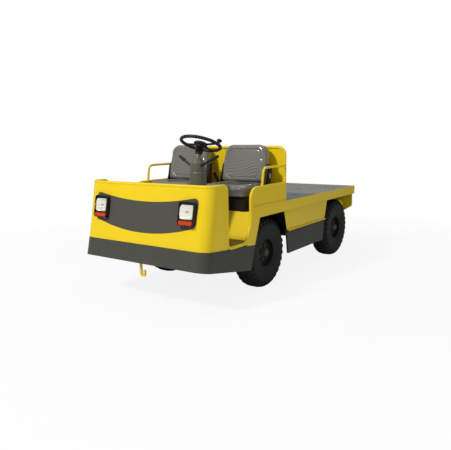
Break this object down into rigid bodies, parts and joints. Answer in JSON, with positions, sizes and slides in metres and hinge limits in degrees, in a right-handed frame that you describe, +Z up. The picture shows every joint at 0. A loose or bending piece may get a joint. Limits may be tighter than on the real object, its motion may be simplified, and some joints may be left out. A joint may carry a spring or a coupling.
{
  "type": "airport baggage tug with load deck",
  "caption": "Open two-seat electric baggage tug with a raked front shield, flat load deck, pneumatic tyres, steered front axle and rear towing hitch.",
  "frame": {"origin": "on the ground under the middle of the vehicle's bounding box", "axes": "+Z up, the nose points to -Y and the tail to +Y, +X is the vehicle's own left side"},
  "size_m": [1.25, 2.7021, 1.2669],
  "materials": {
    "yellow_paint": "semi-gloss",
    "dark_mask": "satin",
    "grey_bumper": "satin",
    "black_plastic": "satin",
    "grey_plastic": "satin",
    "lamp_lens": "clear",
    "amber_lens": "glossy",
    "red_lens": "glossy",
    "grey_vinyl": "satin",
    "black_steel": "satin",
    "deck_steel": "worn satin",
    "cast_motor": "rough",
    "wheel_paint": "satin",
    "tyre_rubber": "matte"
  },
  "bodies": {
    "chassis": {"front_cowl": "yellow_paint", "front_mask": "dark_mask", "headlamp_housings": "black_plastic", "headlamp_lenses": "lamp_lens", "front_reflectors": "amber_lens", "bumper_skirt": "grey_bumper", "quarter_panels": "yellow_paint", "cab_floor": "grey_bumper", "seat_box": "yellow_paint", "seat_bases": "black_plastic", "seat_cushions": "grey_vinyl", "seat_backs": "grey_vinyl", "seat_brackets": "black_steel", "hand_brake": "black_steel", "backrest_frame": "yellow_paint", "backrest_panel": "yellow_paint", "armrests": "yellow_paint", "steering_console": "grey_plastic", "column_stalks": "black_plastic", "pedals": "black_steel", "deck_frame": "yellow_paint", "deck_plates": "deck_steel", "side_panels": "yellow_paint", "skirts": "grey_bumper", "tail_apron": "yellow_paint", "rear_hitch": "black_steel", "tail_lamps": "red_lens", "chassis_frame": "black_steel", "battery_block": "black_steel", "leaf_springs": "black_steel", "front_axle_beam": "black_steel", "rear_axle_housing": "black_steel", "drive_motor": "cast_motor", "tow_hook": "yellow_paint"},
    "steering_wheel": {"steering_wheel": "black_plastic"},
    "knuckle_left": {"knuckle_left": "black_steel"},
    "knuckle_right": {"knuckle_right": "black_steel"},
    "tie_rod": {"tie_rod": "black_steel"},
    "wheel_front_left": {"rim_front_left": "wheel_paint", "tyre_front_left": "tyre_rubber"},
    "wheel_front_right": {"rim_front_right": "wheel_paint", "tyre_front_right": "tyre_rubber"},
    "wheel_rear_left": {"rim_rear_left": "wheel_paint", "tyre_rear_left": "tyre_rubber"},
    "wheel_rear_right": {"rim_rear_right": "wheel_paint", "tyre_rear_right": "tyre_rubber"}
  },
  "joints": [
    {"name": "steer_left", "type": "hinge", "parent": "chassis", "child": "knuckle_left", "pos_m": [0.42, -0.423, 0.295], "axis": [0, 0, 1], "range_deg": [-28, 28]},
    {"name": "steer_right", "type": "hinge", "parent": "chassis", "child": "knuckle_right", "pos_m": [-0.42, -0.423, 0.295], "axis": [0, 0, 1], "range_deg": [-28, 28]},
    {"name": "tie_rod_pivot", "type": "hinge", "parent": "knuckle_left", "child": "tie_rod", "pos_m": [0.42, -0.338, 0.3175], "axis": [0, 0, 1], "range_deg": [-28, 28]},
    {"name": "steering_wheel_turn", "type": "hinge", "parent": "chassis", "child": "steering_wheel", "pos_m": [0.255, -0.881, 1.197], "axis": [0, 0.3746, 0.9272], "range_deg": [-504, 504]},
    {"name": "front_left_spin", "type": "hinge", "parent": "knuckle_left", "child": "wheel_front_left", "pos_m": [0.4915, -0.423, 0.295], "axis": [1, 0, 0], "continuous": true},
    {"name": "front_right_spin", "type": "hinge", "parent": "knuckle_right", "child": "wheel_front_right", "pos_m": [-0.4915, -0.423, 0.295], "axis": [1, 0, 0], "continuous": true},
    {"name": "rear_left_spin", "type": "hinge", "parent": "chassis", "child": "wheel_rear_left", "pos_m": [0.4915, 0.987, 0.295], "axis": [1, 0, 0], "continuous": true},
    {"name": "rear_right_spin", "type": "hinge", "parent": "chassis", "child": "wheel_rear_right", "pos_m": [-0.4915, 0.987, 0.295], "axis": [1, 0, 0], "continuous": true}
  ],
  "couplings": [
    {"joint": "steer_right", "follows": "steer_left", "ratio": 1},
    {"joint": "tie_rod_pivot", "follows": "steer_left", "ratio": -1},
    {"joint": "steering_wheel_turn", "follows": "steer_left", "ratio": 18}
  ]
}
